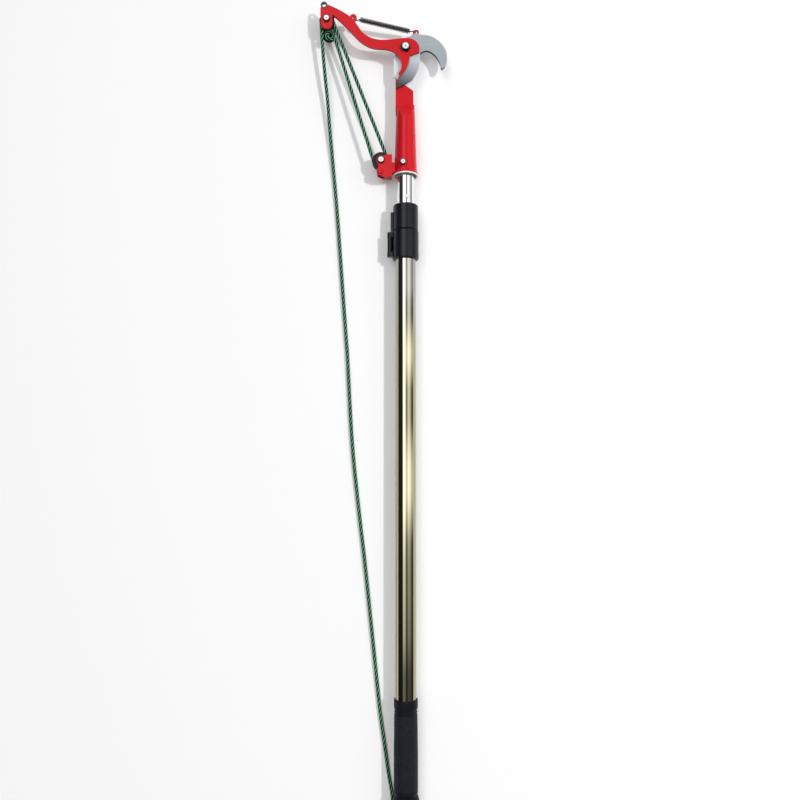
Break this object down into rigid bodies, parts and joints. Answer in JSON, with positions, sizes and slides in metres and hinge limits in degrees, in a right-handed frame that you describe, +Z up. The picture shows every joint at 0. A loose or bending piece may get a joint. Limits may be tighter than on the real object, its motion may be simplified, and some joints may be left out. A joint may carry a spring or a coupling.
{
  "type": "telescopic tree pruner pole",
  "caption": "Telescopic pruning pole with a sliding inner tube, a rope-pulled bypass cutting head on pulleys, a return spring and a coiled spare rope.",
  "frame": {"origin": "middle of the end cap's butt face, on the pole's axis", "axes": "+Y along the pole towards the cutting head, +X towards the hook's side, +Z up from the surface it lies on"},
  "size_m": [0.1781, 1.2301, 0.0366],
  "materials": {
    "red_paint": "gloss",
    "blade_steel": "ground",
    "bright_metal": "polished",
    "gold_tube": "polished, gold tinted",
    "silver_tube": "polished",
    "black_plastic": "satin",
    "grip_rubber": "matte",
    "dark_steel": "dark oiled",
    "rope_green": "laid fibre",
    "strap": "woven"
  },
  "bodies": {
    "pole": {"end_cap": "black_plastic", "grip": "grip_rubber", "outer_tube": "gold_tube", "collar_lower": "black_plastic", "collar_upper": "black_plastic", "lock_pin": "bright_metal", "rope_fall_lower": "rope_green", "rope_hank": "rope_green", "hank_tie": "strap"},
    "lock_lever": {"lock_lever": "black_plastic"},
    "head": {"inner_tube": "silver_tube", "guide_bush": "black_plastic", "stop_rivet": "bright_metal", "ferrule": "red_paint", "ferrule_bolt": "bright_metal", "hook_blade": "blade_steel", "spring_anchor": "red_paint", "pivot_bolt": "bright_metal", "pivot_washer": "dark_steel", "pivot_nut": "bright_metal", "return_spring": "dark_steel", "pulley_bracket": "red_paint", "lower_axle_bolt": "bright_metal", "lower_axle_nut": "bright_metal", "guard_rivet": "red_paint", "rope_run_1": "rope_green", "rope_lower_turn": "rope_green", "rope_run_2": "rope_green", "rope_fall_upper": "rope_green"},
    "lever": {"lever_arm": "red_paint", "cutting_blade": "blade_steel", "blade_rivets": "dark_steel", "hang_eye": "dark_steel", "pulley_cheek": "black_plastic", "upper_axle_bolt": "bright_metal", "upper_axle_nut": "bright_metal", "rope_becket": "rope_green", "rope_knot": "rope_green", "rope_upper_turn": "rope_green"},
    "upper_pulley": {"upper_pulley": "black_plastic"},
    "lower_pulley": {"lower_pulley": "black_plastic"}
  },
  "joints": [
    {"name": "telescope", "type": "slide", "parent": "pole", "child": "head", "axis": [0, 1, 0], "range_m": [0, 0.66], "deforming": ["rope_fall_lower"]},
    {"name": "lock_hinge", "type": "hinge", "parent": "pole", "child": "lock_lever", "pos_m": [-0.0215, 0.745, 0], "axis": [0, 1, 0], "range_deg": [0, 100]},
    {"name": "lever_hinge", "type": "hinge", "parent": "head", "child": "lever", "pos_m": [0, 1.021, 0.0084], "axis": [0, 0, 1], "range_deg": [0, 65], "stiffness_Nm_per_rad": 0.5, "springref_deg": -40.11, "deforming": ["return_spring", "rope_run_1", "rope_run_2", "rope_fall_upper"]},
    {"name": "lower_pulley_spin", "type": "hinge", "parent": "head", "child": "lower_pulley", "pos_m": [-0.0338, 0.8615, 0.0021], "axis": [0, 0, 1], "range_deg": [0, 720]},
    {"name": "upper_pulley_spin", "type": "hinge", "parent": "lever", "child": "upper_pulley", "pos_m": [-0.1098, 1.0622, 0.0021], "axis": [0, 0, 1], "range_deg": [0, 1750]}
  ],
  "couplings": [
    {"joint": "lower_pulley_spin", "follows": "lever_hinge", "ratio": 10.9},
    {"joint": "upper_pulley_spin", "follows": "lever_hinge", "ratio": 26}
  ]
}
